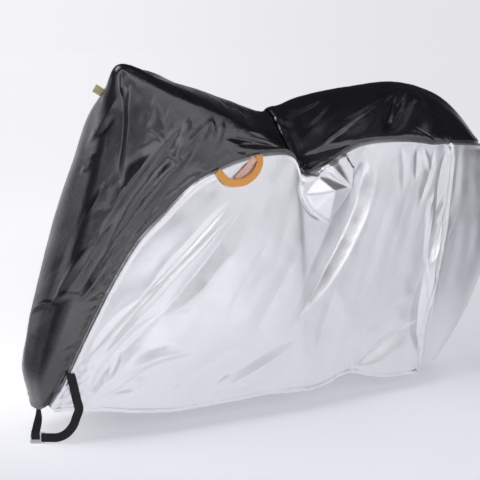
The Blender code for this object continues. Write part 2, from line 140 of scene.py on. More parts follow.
# Where each zone of the floor's glow begins and is full, by how far right, +X, a place lies as seen from the
# eye (SIDE), how far from the origin along the eye's heading (AWAY), or its x.
LEFT_SIDE, LEFT_AWAY = (.4, .3), (-1.2, -.1)
FAR_AWAY = (.3, 4.0)
FRONT_AWAY, FRONT_STARTS_X, FRONT_ENDS_X = (-1.05, -1.4), (-1.6, -1.2), (4.0, 2.4)
RIGHT_SIDE, RIGHT_AWAY = (.68, .9), (-.75, -.1)
BEYOND_LEFT_SIDE = (.28, .1)
OUTSIDE_AWAY = (4.5, 1.0)
EYE_AWAY = (-2.05, -2.95)
LAMP = (.965, .97, 1)
SOFTBOXES = (  # name, place, what it faces, width and height, watts
    ("front", (-.7, -2.75, .55), (-.5, 0, -.1), (2, 1.4), 13),
    ("front_right", (1.4, -2.75, .08), (.3, 0, -.1), (2.2, 1.25), 8.8),
    ("left", (-3.4, -3.9, .5), (-.5, 0, -.2), (4.2, 2), 27),
    ("above", (-2.4, .2, 2.7), (-.3, 0, -1), (2.2, 2.2), 44),
    ("overhead", (1.1, -1.7, 3), (.3, 0, 0), (1.5, 1.1), 2),
)

# ------ how fine the cloth is
ROWS_MEASURED = 2001  # rows at which the cover's length is measured
ROWS_FINE = 600  # lines of points along the cover
ACROSS_FINE = ((0, NEAR_SEAM, 150), (NEAR_SEAM, TOP, 156), (TOP, FAR_SEAM, 70), (FAR_SEAM, FAR_HEM, 80))
CELLS = 128  # after how many cells a pattern repeats
GROOVE_WIDE = .0022  # of a line of stitches

HEM_TURN = .014  # how far the hem is turned up inside
HEM_STEP, HEM_GROOVE = .0012, .0009
HEM_RIPPLE, RIPPLE_REACH = .0022, .028
HEM_WAVE, WAVE_REACH = .003, .05

SEAM_DIP, SEAM_DIP_WIDE = .003, .0045  # how deep the cloth is drawn in at a seam
SEAM_ROLL, SEAM_ROLL_WIDE = .0035, .008  # how far it bulges beside the seam
SEAM_ROLL_AT = .011
BLACK_ROLL = .3  # the black cloth's share of that
SEAM_FADES = (-.012, .004)  # how far beside a side seam the seams across the cover begin
PUCKER, PUCKER_REACH = .0032, .03  # how deep the short creases across a seam are
SILVER_PUCKER = .4  # the silver cloth's share of that

WELT_WIDE = .03
WELT_STEP, WELT_GROOVE = .0016, .0012
WELT_LIFT = .004  # how far the lapped edge lies over the cloth below it
WELT_FALLS = (.022, .06)  # how far behind the edge that ends

STITCH_LENGTH, STITCH_PITCH, STITCH_THICK = .0034, .0048, .0009
SEAM_STITCHES = .006
HEM_STITCHES = HEM_TURN - .003
WELT_STITCHES = (.004, WELT_WIDE - .004)
WELT_STITCHES_LIFT = WELT_LIFT + .0012
STITCHES_END = 6  # columns before the side seams
TAPE_FLAT_POINTS = 9  # across each flat side of a strap

# The crumples of taffeta. Degrees is the direction that they are drawn out in, and stretch how much.
Crumple = namedtuple("Crumple", "deep size degrees stretch seed")
LONG_CRUMPLES = Crumple(.002, .042, 50, 2.6, 11)
SHORT_CRUMPLES = Crumple(.0006, .022, 70, 1.5, 13)
SLACK_CRUMPLES = Crumple(.005, .02, 70, 1.5, 17)
CRUMPLED_FRONT, CRUMPLED_TIGHT, CRUMPLED_REAR = .55, .1375, .3  # how strong the long and short ones are
CRUMPLED_SIDE, CRUMPLED_BACK, CRUMPLED_SLACK = .12, .05, 2.2
TIGHT_BELOW, TIGHT_LEFT_OF = .36, -.4  # where on the eye's plane the front hangs tight
SLACK_AT, SLACK_REACH = (-.53, .08), .07  # where on it the near side hangs slack
SOFT_WAVES = ((.0022, .16, 14), (.0007, .05, 15))  # how deep, how wide, and their seed
WANDER = ((.005, .13), (.0006, .03))  # how far folds wander, and over what length

# The silver side's soft waves fan out from a place, given as x and z.
FAN = (.75, 1.7)
FAN_REACH, FAN_STRETCH = 1.4, 5
FAN_SILVER, FAN_BLACK = .0018, .0003
FAN_WAVE = .045

# The materials' finer patterns.
PATCHES = 14.0  # lighter and duller patches, a metre
CREASE_CELL, CREASE_FLANK, CREASE_DEEP = .03, .25, .003
BENDS, BEND_BY = 22.0, .05  # how the creases bend
SMALL_CRUMPLES, SMALL_DEEP = 90.0, .0012
CLOTH_THREAD = .0007
WEBBING_RIB = .0012

# ------ folds
# A fold is a soft crease along a curve through three places of the eye's plane. Rise is how far it stands
# out of the cloth, left and right are how far it reaches on each side, and crest is how sharp it is.
Fold = namedtuple("Fold", "a0 h0 a1 h1 a2 h2 rise left right crest", defaults=(1.1,))
FOLD_STEPS = 16  # straight steps along the curve
FOLD_TAPER = .35  # the share of its length over which each end rises
FOLD_TIP = .3  # the share of its reach that is left at its tips
SIDE_FOLDS = [Fold(*row) for row in (
    # the solids have these too
    (.05, .71, -.264, .372, -.45, .15, .006, .042, .018, 1.2),
    (-.085, .062, .055, .15, .185, .25, .011, .03, .052, 1.2),
    (-.385, .105, -.285, .175, -.125, .205, .005, .06, .022, 1.4),
    (.35, .155, .425, .23, .565, .31, -.007, .05, .045, 1.4),
    # the creases that fan out from the loop
    (-.006, .705, -.148, .547, -.33, .354, -.004, .01, .022),
    (-.296, .383, -.4, .277, -.477, .187, -.004, .01, .022),
    (.048, .735, -.095, .506, -.256, .315, -.006, .045, .022),
    (-.234, .341, -.383, .213, -.473, .076, -.006, .05, .02),
    (.108, .587, .037, .452, -.05, .303, -.003, .05, .02, 1.3),
    (.155, .64, .12, .52, .06, .4, -.002, .04, .022, 1.3),
    # the low creases over the front wheel
    (-.359, .118, -.251, .18, -.129, .203, .004, .04, .01),
    (-.347, .069, -.299, .115, -.258, .148, .003, .024, .008),
    (-.404, .066, -.334, .115, -.252, .161, -.004, .01, .03),
    (-.442, .05, -.379, .076, -.284, .089, -.003, .01, .022),
    (-.43, .1, -.395, .15, -.372, .215, -.003, .02, .01),
    (-.4, .175, -.447, .105, -.495, .045, -.007, .018, .026, 1.2),
    (-.253, .063, -.126, .148, .038, .251, -.004, .04, .016),
    (.038, .251, .115, .389, .186, .515, -.003, .05, .022, 1.2),
    (-.088, .05, -.057, .102, -.006, .135, .005, .012, .022),
    (-.02, .062, .02, .095, .075, .118, .003, .012, .02),
    # the rim of the folded corner, the trough behind it and the ridge beside that
    (.184, .757, .21, .672, .264, .618, -.012, .006, .014),
    (.384, .83, .34, .6, .146, .262, -.029, .03, .06, 1.15),
    (.378, .816, .372, .74, .345, .65, -.006, .022, .022),
    (.425, .85, .372, .604, .22, .35, .005, .085, .036),
    (.298, .427, .268, .315, .232, .2, -.005, .05, .026, 1.3),
    # the lobe of the hem behind the stand and the drawn rear edge
    (.352, .148, .457, .238, .565, .309, -.01, .018, .04, 1.2),
    (.38, .23, .46, .33, .56, .4, -.005, .022, .04, 1.4),
    (.648, .779, .616, .594, .571, .462, -.01, .02, .026, 1.2),
    (.571, .462, .559, .309, .565, .187, -.01, .022, .026, 1.2),
    (.6, .7, .585, .56, .59, .43, .006, .018, .014, 1.2),
    (.625, .56, .6, .44, .6, .3, .006, .018, .014, 1.2),
    (.536, .852, .541, .8, .534, .745, -.004, .014, .01, 1.2),
    (.59, .848, .578, .76, .548, .655, -.005, .012, .02, 1.2),
    (.56, .85, .572, .812, .59, .76, .004, .01, .014, 1.2),
    (.625, .838, .61, .76, .602, .65, -.005, .014, .012, 1.2),
    (.486, .856, .5, .79, .496, .7, -.003, .022, .018, 1.3),
    (.6, .72, .585, .66, .58, .59, .004, .012, .012, 1.2),
    (.63, .69, .618, .65, .596, .6, -.004, .01, .012, 1.2),
)]
FRONT_FOLDS = [Fold(*row) for row in (
    # the solids have these too
    (-.15, .94, -.395, .67, -.61, .31, .016, .055, .05, 1.4),
    (-.08, .94, -.285, .705, -.53, .335, .014, .045, .05, 1.4),
    (-.355, 1.055, -.36, .9, -.375, .69, .012, .04, .045, 1.4),
    (-.33, 1.065, -.335, .885, -.365, .69, -.014, .045, .04, 1.4),
    # below the near grip
    (-.356, 1.085, -.353, 1.046, -.354, .99, -.009, .022, .01),
    (-.353, 1.016, -.361, .901, -.373, .779, .0045, .022, .01, 1.2),
    (-.325, 1.05, -.343, .916, -.367, .76, -.008, .034, .014),
    (-.366, 1.004, -.419, .925, -.481, .84, .0059, .03, .015, 1.4),
    (-.373, .95, -.41, .907, -.447, .865, -.005, .008, .024),
    (-.433, .834, -.464, .795, -.495, .767, .0045, .02, .01, 1.2),
    (-.4, .76, -.44, .69, -.5, .6, .0043, .034, .015, 1.4),
    (-.395, .68, -.45, .59, -.53, .47, -.006, .012, .03),
    # the short creases that start on the flat upper part
    (-.256, 1.022, -.273, .956, -.29, .905, .003, .016, .008),
    (-.256, .996, -.243, .925, -.228, .848, .003, .016, .008),
    (-.206, .99, -.224, .94, -.246, .88, .0022, .014, .007),
    (-.288, .908, -.262, .888, -.238, .862, .0022, .01, .007),
    (-.155, .948, -.176, .882, -.212, .8, .006, .022, .016),
    (-.163, .93, -.188, .88, -.216, .842, .0025, .012, .008),
    (-.24, .838, -.21, .818, -.18, .8, .003, .016, .009),
    (-.082, .95, -.108, .893, -.146, .832, .004, .018, .011),
    (-.05, .938, -.062, .885, -.082, .832, .003, .014, .009),
    (-.084, .935, -.082, .905, -.074, .862, .0022, .01, .007),
    (-.14, .846, -.19, .8, -.244, .762, .004, .018, .011),
    (-.3, .985, -.312, .93, -.334, .868, .0022, .014, .008),
    # the ridges beside the seam, down to the front
    (-.195, .812, -.29, .715, -.43, .505, .0075, .034, .02, 1.3),
    (-.262, .842, -.35, .74, -.45, .6, .008, .036, .022, 1.3),
    (-.385, .63, -.468, .505, -.57, .365, .012, .034, .03, 1.2),
    (-.134, .842, -.24, .745, -.37, .555, .007, .032, .018, 1.3),
    (-.34, .6, -.425, .48, -.515, .36, .011, .032, .02, 1.3),
    (-.196, .712, -.28, .625, -.372, .52, .005, .022, .014, 1.2),
    (-.345, .545, -.43, .455, -.506, .365, .008, .024, .015, 1.2),
    (-.11, .77, -.19, .712, -.28, .635, .004, .02, .012, 1.2),
    (-.23, .7, -.33, .6, -.43, .47, .0035, .018, .01, 1.2),
    (-.455, .56, -.52, .47, -.58, .37, .004, .018, .012, 1.2),
    (-.6, .35, -.54, .392, -.49, .372, .004, .014, .014),
    (-.65, .318, -.61, .362, -.56, .34, .004, .014, .014),
    # the creases that the lapped seam draws in
    (-.055, .874, .037, .865, .137, .843, -.009, .01, .018, 1.05),
    (-.02, .85, .05, .855, .12, .85, -.005, .008, .012, 1.05),
    (.02, .895, .08, .88, .14, .85, .004, .014, .009),
)]
REAR_FOLDS = [Fold(*row) for row in (
    # the solids have these too
    (.205, .82, .32, .915, .46, 1.015, .005, .04, .06, 1.4),
    (.505, 1.03, .475, .955, .44, .89, -.013, .04, .035, 1.4),
    # from the lapped seam up to the saddle
    (.142, .944, .197, .968, .257, 1.001, .004, .018, .01),
    (.182, .895, .23, .941, .278, .992, .003, .022, .012),
    (.204, .801, .322, .919, .477, 1.019, .004, .03, .012),
    (.183, .816, .289, .846, .444, .889, -.005, .014, .03),
    (.25, .86, .33, .9, .42, .96, -.003, .012, .024),
    (.3, .93, .36, .96, .43, 1, .003, .02, .01),
    # from the saddle down
    (.48, 1.02, .462, .956, .44, .89, -.01, .008, .014, 1.05),
    (.5, 1.016, .478, .956, .446, .883, .005, .012, .008),
    (.515, 1.02, .545, .956, .585, .87, .013, .03, .085),
    (.54, 1.005, .59, .95, .64, .88, -.003, .02, .03, 1.2),
)]
FAR_FOLDS = [Fold(*row) for row in (
    (-.5, .85, -.25, .52, .05, .15, .018, .07, .07, 1.4),
    (.06, .76, .25, .45, .44, .18, .016, .07, .07, 1.4),
    (.15, .93, .38, .64, .56, .3, .014, .06, .06, 1.4),
    (-.6, .72, -.56, .45, -.54, .15, .012, .06, .05, 1.4),
)]

# The folded corner under the lap: its corners, how far each stands out, and the facets between them.
Place = namedtuple("Place", "a h rise")
CORNER = {name: Place(*place) for name, place in dict(
    tip=(.189, .77, .004), left=(.198, .703, .003), low_left=(.224, .653, .005), point=(.27, .622, .008),
    fold=(.232, .761, .012), peak=(.272, .718, .038), dip=(.275, .748, .018), knob=(.327, .724, .034),
    right=(.34, .715, .012), high_right=(.339, .791, .022), brow=(.318, .828, .01),
    seam_left=(.251, .788, .01), ridge=(.264, .797, .02), seam_right=(.291, .812, .008),
).items()}
CORNER_FACETS = (
    "tip left fold", "left peak fold", "left low_left peak", "low_left point peak", "fold peak dip",
    "peak knob dip", "dip knob seam_left", "fold dip seam_left", "seam_left knob ridge",
    "ridge knob seam_right", "seam_right knob high_right", "seam_right high_right brow",
    "knob right high_right", "peak point right", "peak right knob",
)


# ------ numbers along and across the cover
def along_rows(table, at):
    """Values of a table between its rows, on smooth curves through them."""
    table = np.array(table, float)
    padded = np.vstack([2 * table[0] - table[1], table, 2 * table[-1] - table[-2]])
    row = np.minimum(at.astype(int), len(table) - 2)
    f = (at - row)[:, None]
    p0, p1, p2, p3 = (padded[row + k] for k in range(4))
    return (
        p1 + (p2 - p0) * f / 2
        + (2 * p0 - 5 * p1 + 4 * p2 - p3) * f**2 / 2
        + (3 * p1 - p0 - 3 * p2 + p3) * f**3 / 2
    )


def swell(at, centre, reach):
    """1 at the centre, falling smoothly to 0 at the reach on both sides."""
    return np.cos(np.clip((at - centre) / reach, -1, 1) * pi / 2) ** 2


def ease(at, start, end):
    """0 up to start, 1 from end on, smooth in between."""
    f = np.clip((at - start) / (end - start), 0, 1)
    return f * f * (3 - 2 * f)


def hump(away, wide, power=2):
    """1 at no distance, falling off over about that width."""
    return np.exp(-((away / wide) ** power))


def unit(vectors):
    return vectors / np.maximum(np.linalg.norm(vectors, axis=-1, keepdims=True), 1e-9)


def lengths(points, axis=0):
    """How far along a line or a grid each point is, in metres, along one of its directions."""
    step = np.linalg.norm(np.diff(points, axis=axis), axis=-1)
    return np.cumsum(np.pad(step, [(int(k == axis), 0) for k in range(step.ndim)]), axis=axis)


def places(rows):
    """The nine places across the cover at each of the given rows."""
    v = along_rows(ROWS, rows)
    top = np.stack([v[:, 0], 0 * rows, v[:, 1]], 1)
    shoulder, seam, hem = v[:, 2:5], v[:, 5:8], v[:, 8:11]
    belly = (seam + hem) / 2
    belly[:, 1] -= BELLY * swell(rows, BELLY_ROW, BELLY_REACH)
    grips = swell(rows, GRIP_ROW, GRIP_REACH)
    far = []
    for near, swing in zip((shoulder, seam, belly, hem), SWING_SHARES):
        other = near * (1, -1, 1)
        other[:, 0] += swing * HANDLEBAR_SWING * grips
        far.append(other)
    far[0][:, 2] -= FAR_GRIP_DROP * grips
    return np.stack([hem, belly, seam, shoulder, top] + far, 1)


def cloth(rows, columns):
    """Points of the cover without its folds, on straight lines across that are rounded at each place."""
    given = places(rows)
    corner = given[:, :-2] - 2 * given[:, 1:-1] + given[:, 2:]
    at = given.copy()
    at[:, 1:-1] -= corner * np.array(ROUNDING[1:-1])[None, :, None] / 4 * MADE_UP
    first = np.minimum(columns.astype(int), FAR_HEM - 1)
    f = (columns - first)[None, :, None]
    points = at[:, first] * (1 - f) + at[:, first + 1] * f
    for k in range(1, FAR_HEM):
        turn = at[:, k - 1] - 2 * at[:, k] + at[:, k + 1]
        near = np.maximum(0, ROUNDING[k] - abs(columns - k)) ** 2 / (4 * ROUNDING[k])
        points = points + turn[:, None] * near[None, :, None]
    return points


def outward(points):
    """The direction out of the cover at each point of a grid."""
    return unit(np.cross(np.gradient(points, axis=0), np.gradient(points, axis=1)))


# ------ folds and patterns
def seen_from(side, points, out):
    """Where points lie on the plane of an eye on the near (-1) or far (1) side, and how they face it."""
    eye = np.array(EYE) * (1, -side, 1)
    ahead = np.array([sin(EYE_HEADING), -side * cos(EYE_HEADING), 0])
    right = np.array([-side * cos(EYE_HEADING), -sin(EYE_HEADING), 0])
    away = points - eye
    depth = away @ ahead
    facing = -(unit(away) * out).sum(-1)
    return (
        EYE_TO_PLANE * (away @ right) / depth,
        EYE[2] + EYE_TO_PLANE * away[..., 2] / depth,
        ease(facing, 0, FACING),
    )


def wandering(a, h, seed):
    """Places of the eye's plane, moved so that the folds through them wander a little."""
    moved = []
    for at in (a, h):
        for far, size in WANDER:
            at = at + far * waves(a, h, size, seed)
            seed += 1
        moved.append(at)
    return moved


def fold_height(fold, a, h):
    """How far a fold lifts the cloth at the places (a, h) of the eye's plane."""
    lift = np.zeros(a.shape)
    ends = np.array(fold[:6]).reshape(3, 2)
    widest = max(fold.left, fold.right)
    low, high = ends.min(0) - widest, ends.max(0) + widest
    near = (a > low[0]) & (a < high[0]) & (h > low[1]) & (h < high[1])
    a, h = a[near], h[near]
    bend = 2 * ends[1] - (ends[0] + ends[2]) / 2
    u = np.linspace(0, 1, FOLD_STEPS + 1)[:, None]
    curve = ends[0] * (1 - u) ** 2 + bend * 2 * u * (1 - u) + ends[2] * u**2
    nearest = np.full(a.shape, 1e9)
    found = np.zeros(a.shape)
    for k, (p, q) in enumerate(zip(curve[:-1], curve[1:])):
        run = q - p
        da, dh = a - p[0], h - p[1]
        part = np.clip((da * run[0] + dh * run[1]) / (run @ run), 0, 1)
        away = np.hypot(da - part * run[0], dh - part * run[1])
        done = (k + part) / FOLD_STEPS
        taper = ease(np.minimum(done, 1 - done), 0, FOLD_TAPER)
        beside = np.where(run[0] * dh - run[1] * da > 0, fold.left, fold.right)
        reach = beside * (FOLD_TIP + (1 - FOLD_TIP) * taper)
        here = np.clip(1 - away / reach, 0, 1) ** fold.crest * taper
        found = np.where(away < nearest, here, found)
        nearest = np.minimum(away, nearest)
    lift[near] = found
    return fold.rise * lift


def corner_height(a, h):
    """How far the facets of the folded corner lift the cloth at (a, h)."""
    lift = np.zeros(a.shape)
    for names in CORNER_FACETS:
        p, q, r = (CORNER[name] for name in names.split())
        whole = (q.a - p.a) * (r.h - p.h) - (r.a - p.a) * (q.h - p.h)
        v = ((a - p.a) * (r.h - p.h) - (r.a - p.a) * (h - p.h)) / whole
        w = ((q.a - p.a) * (h - p.h) - (a - p.a) * (q.h - p.h)) / whole
        inside = (v >= 0) & (w >= 0) & (v + w <= 1)
        lift = np.where(inside, p.rise * (1 - v - w) + q.rise * v + r.rise * w, lift)
    return lift


def cells(u, v, size):
    """Which cell of a pattern each place is in, and where in the cell it is."""
    x, y = u / size, v / size
    i, j = np.floor(x).astype(int), np.floor(y).astype(int)
    return i, j, x - i, y - j


def waves(u, v, size, seed):
    """Smooth noise from -1 to 1 whose bumps are about size apart."""
    table = np.random.default_rng(seed).uniform(-1, 1, (CELLS, CELLS))
    i, j, f, g = cells(*np.broadcast_arrays(u, v), size)
    f, g = f * f * (3 - 2 * f), g * g * (3 - 2 * g)
    i, j, i1, j1 = i % CELLS, j % CELLS, (i + 1) % CELLS, (j + 1) % CELLS
    low = table[i, j] * (1 - f) + table[i1, j] * f
    high = table[i, j1] * (1 - f) + table[i1, j1] * f
    return low * (1 - g) + high * g


def facets(u, v, size, seed):
    """A crumple of flat facets with straight ridges between them, from 0 on the ridges to about 1."""
    jitter = np.random.default_rng(seed).uniform(0, 1, (CELLS, CELLS, 2))
    i, j, f, g = cells(u, v, size)
    first, second = np.full(f.shape, 9.0), np.full(f.shape, 9.0)
    for di in (-1, 0, 1):
        for dj in (-1, 0, 1):
            spot = jitter[(i + di) % CELLS, (j + dj) % CELLS]
            away = np.hypot(di + spot[..., 0] - f, dj + spot[..., 1] - g)
            second = np.minimum(second, np.maximum(first, away))
            first = np.minimum(first, away)
    return np.clip(second - first, 0, 1)


def crumpled(u, v, crumple, bend=0):
    """How far crumples of that kind lift the cloth."""
    c, s = cos(radians(crumple.degrees)), sin(radians(crumple.degrees))
    along, beside = (u * c + v * s) / crumple.stretch, v * c - u * s
    return crumple.deep * (.5 - facets(along + bend, beside, crumple.size, crumple.seed))


def doubled(away, wide, step, groove):
    """How far an edge that is doubled that wide lifts the cloth, with the groove in which it is sewn."""
    return step * (1 - ease(away, wide - .002, wide + .001)) - groove * hump(away - wide, GROOVE_WIDE)


# ------ materials
def new_material(name, colour, roughness, **sockets):
    made = bpy.data.materials.new(name)
    made.use_nodes = True
    shader = made.node_tree.nodes["Principled BSDF"]
    shader.inputs["Base Color"].default_value = (*colour, 1)
    shader.inputs["Roughness"].default_value = roughness
    for socket, value in sockets.items():
        shader.inputs[socket.replace("_", " ")].default_value = value
    return made, made.node_tree, shader


def node(tree, kind, inputs=(), **settings):
    made = tree.nodes.new(kind)
    for key, value in settings.items():
        setattr(made, key, value)
    for socket, value in dict(inputs).items():
        if isinstance(value, bpy.types.NodeSocket):
            tree.links.new(value, made.inputs[socket])
        else:
            made.inputs[socket].default_value = value
    return made


def calc(tree, operation, *values):
    return node(tree, "ShaderNodeMath", dict(enumerate(values)), operation=operation).outputs[0]


def vector(tree, operation, *values):
    return node(tree, "ShaderNodeVectorMath", dict(enumerate(values)), operation=operation)


def ranged(tree, value, start, end, to_start=0.0, to_end=1.0, kind="LINEAR"):
    """The value carried from one range over to another."""
    inputs = {"Value": value, "From Min": start, "From Max": end, "To Min": to_start, "To Max": to_end}
    return node(tree, "ShaderNodeMapRange", inputs, interpolation_type=kind).outputs[0]


def share(tree, value, start, end):
    """0 where the value is at the start, 1 at the end, smooth in between."""
    return ranged(tree, value, start, end, kind="SMOOTHSTEP")


def mixed(tree, fac, first, second):
    return node(tree, "ShaderNodeMix", {0: fac, 6: first, 7: second}, data_type="RGBA").outputs[2]


def noise(tree, scale, detail, rough=.5, at=None):
    inputs = {"Scale": scale, "Detail": detail, "Roughness": rough}
    if at is not None:
        inputs["Vector"] = at
    return node(tree, "ShaderNodeTexNoise", inputs)


def threads(tree, *pitches):
    """A sine along each direction of the UV map, whose full turn is that pitch in metres."""
    uv = node(tree, "ShaderNodeUVMap", uv_map="cloth").outputs[0]
    split = node(tree, "ShaderNodeSeparateXYZ", {0: uv})
    return [
        calc(tree, "SINE", calc(tree, "MULTIPLY", split.outputs[k], 2 * pi / pitch))
        for k, pitch in enumerate(pitches)
    ]


def bump(tree, height, strength, distance, normal=None):
    inputs = {"Height": height, "Strength": strength, "Distance": distance}
    if normal is not None:
        inputs["Normal"] = normal
    return node(tree, "ShaderNodeBump", inputs).outputs["Normal"]


def cloth_material(name, colour, shade, roughness, crumple, **sockets):
    """Coated taffeta: a fine weave, small crumples, and a slightly uneven colour and gloss."""
    made, tree, shader = new_material(name, colour, roughness, **sockets)
    spot = node(tree, "ShaderNodeTexCoord").outputs["Object"]
    patches = noise(tree, PATCHES, 4.0, .6, spot).outputs["Fac"]
    tree.links.new(mixed(tree, patches, (*colour, 1), (*shade, 1)), shader.inputs["Base Color"])
    gloss = ranged(tree, patches, .3, .7, roughness - .05, roughness + .06)
    tree.links.new(gloss, shader.inputs["Roughness"])
    bend = vector(tree, "MULTIPLY", noise(tree, BENDS, 2.0, at=spot).outputs["Color"], (BEND_BY,) * 3)
    bent = vector(tree, "ADD", bend.outputs[0], spot).outputs[0]
    crease = node(tree, "ShaderNodeTexVoronoi", {"Vector": bent, "Scale": 1 / CREASE_CELL},
                  feature="DISTANCE_TO_EDGE").outputs["Distance"]
    normal = bump(tree, calc(tree, "MINIMUM", crease, CREASE_FLANK), crumple, CREASE_DEEP)
    small = noise(tree, SMALL_CRUMPLES, 3.0, .55, spot).outputs["Fac"]
    normal = bump(tree, small, crumple, SMALL_DEEP, normal)
    weave = calc(tree, "MULTIPLY", *threads(tree, 2 * CLOTH_THREAD, 2 * CLOTH_THREAD))
    tree.links.new(bump(tree, weave, .12, .0001, normal), shader.inputs["Normal"])
    return made


def webbing_material(name, colour, shade):
    """Woven tape: ribs across it and finer threads along it, with painted shade in the grooves between the
    ribs.
    """
    made, tree, shader = new_material(name, colour, .75)
    ribs, fine = threads(tree, WEBBING_RIB, WEBBING_RIB * .6)
    height = calc(tree, "MULTIPLY", ribs, calc(tree, "ADD", calc(tree, "MULTIPLY", fine, .35), .65))
    # painted shade: the darker shade colour is mixed in where the ribs dip, so the grooves between them read
    # darker
    painted_groove_shade = mixed(tree, ranged(tree, height, -1.0, 1.0), (*shade, 1), (*colour, 1))
    tree.links.new(painted_groove_shade, shader.inputs["Base Color"])
    tree.links.new(bump(tree, height, .5, .0004), shader.inputs["Normal"])
    return made


def marked_material(name, colour, roughness, marks, strength, worn=None, **sockets):
    """A plain material with small marks, so many a metre, which may also vary how rough it is."""
    made, tree, shader = new_material(name, colour, roughness, **sockets)
    height = noise(tree, *marks).outputs["Fac"]
    if worn:
        tree.links.new(ranged(tree, height, 0.0, 1.0, *worn), shader.inputs["Roughness"])
    tree.links.new(bump(tree, height, strength, .0002), shader.inputs["Normal"])
    return made


# ------ meshes
def linked(name, data):
    made = bpy.data.objects.new(name, data)
    bpy.context.scene.collection.objects.link(made)
    return made


def add_mesh(name, points, faces, uv, surface):
    """A smooth mesh through points in floor coordinates, with its UV map in metres."""
    mesh = bpy.data.meshes.new(name)
    mesh.from_pydata(points - SADDLE, [], faces)
    layer = mesh.uv_layers.new(name="cloth")
    corner = np.zeros(len(mesh.loops), np.int32)
    mesh.loops.foreach_get("vertex_index", corner)
    layer.data.foreach_set("uv", uv[corner].astype(np.float32).ravel())
    mesh.materials.append(surface)
    mesh.shade_smooth()
    return linked(name, mesh)


def add_grid(name, points, uv, surface):
    """One sheet of quads through a grid of points."""
    rows, columns = points.shape[:2]
    index = np.arange(rows * columns).reshape(rows, columns)
    faces = np.stack([index[:-1, :-1], index[1:, :-1], index[1:, 1:], index[:-1, 1:]], -1).reshape(-1, 4)
    return add_mesh(name, points.reshape(-1, 3), faces.tolist(), uv.reshape(-1, 2), surface)


def placed(piece, slot, *nodes):
    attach(piece, "root")
    if nodes:
        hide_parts(*nodes)


def tape(name, centres, faces, width, thick, steps_between, surface, slant=0.0):
    """A flat strap with rounded edges through the centres, whose flat side faces the given ways there.

    Slant is how much further its start reaches on one edge than on the other.
    """
    at = np.linspace(0, len(centres) - 1, (len(centres) - 1) * steps_between + 1)
    line, face = along_rows(centres, at), unit(along_rows(faces, at))
    across = unit(np.cross(np.gradient(line, axis=0), face))
    out = unit(np.cross(across, np.gradient(line, axis=0)))
    half, round_by = width / 2, thick / 2
    flat = np.linspace(round_by - half, half - round_by, TAPE_FLAT_POINTS)
    ring = np.array(
        [(d, round_by) for d in flat] + [(half, 0)] + [(d, -round_by) for d in flat[::-1]] + [(-half, 0)]
    )
    points = line[:, None] + across[:, None] * ring[None, :, :1] + out[:, None] * ring[None, :, 1:]
    points[0] += unit(line[0] - line[1]) * slant * ring[:, :1] / width
    count, sides = points.shape[:2]
    index = np.arange(count * sides).reshape(count, sides)
    beside = np.roll(index, -1, axis=1)
    skin = np.stack([index[:-1], beside[:-1], beside[1:], index[1:]], -1).reshape(-1, 4).tolist()
    skin += [index[0, ::-1].tolist(), index[-1].tolist()]
    uv = np.stack(np.broadcast_arrays(lengths(line)[:, None], ring[None, :, 0]), -1)
    return add_mesh(name, points.reshape(-1, 3), skin, uv.reshape(-1, 2), surface)


def at_length(where, run, values):
    """What the values of a line's points are at a length along it."""
    return np.array([np.interp(where, run, values[:, k]) for k in range(3)])


def stitches(name, lines, surface):
    """Small raised stitches along lines of points with outward directions."""
    points, faces = [], []
    half, sunk, raised = STITCH_LENGTH / 2, STITCH_THICK * .3, STITCH_THICK * .8
    for line, out in lines:
        run = lengths(line)
        for middle in np.arange(STITCH_PITCH / 2, run[-1] - STITCH_PITCH / 2, STITCH_PITCH):
            start, top, end = (at_length(middle + d, run, line) for d in (-half, 0, half))
            up = unit(at_length(middle, run, out))
            side = unit(np.cross(end - start, up)) * STITCH_THICK / 2
            base = len(points)
            points += [start - up * sunk, end - up * sunk, top + side, top - side, top + up * raised]
            faces += [(base, base + 2, base + 4), (base, base + 4, base + 3),
                      (base + 1, base + 4, base + 2), (base + 1, base + 3, base + 4)]
    points = np.array(points)
    return add_mesh(name, points, faces, points[:, :2], surface)


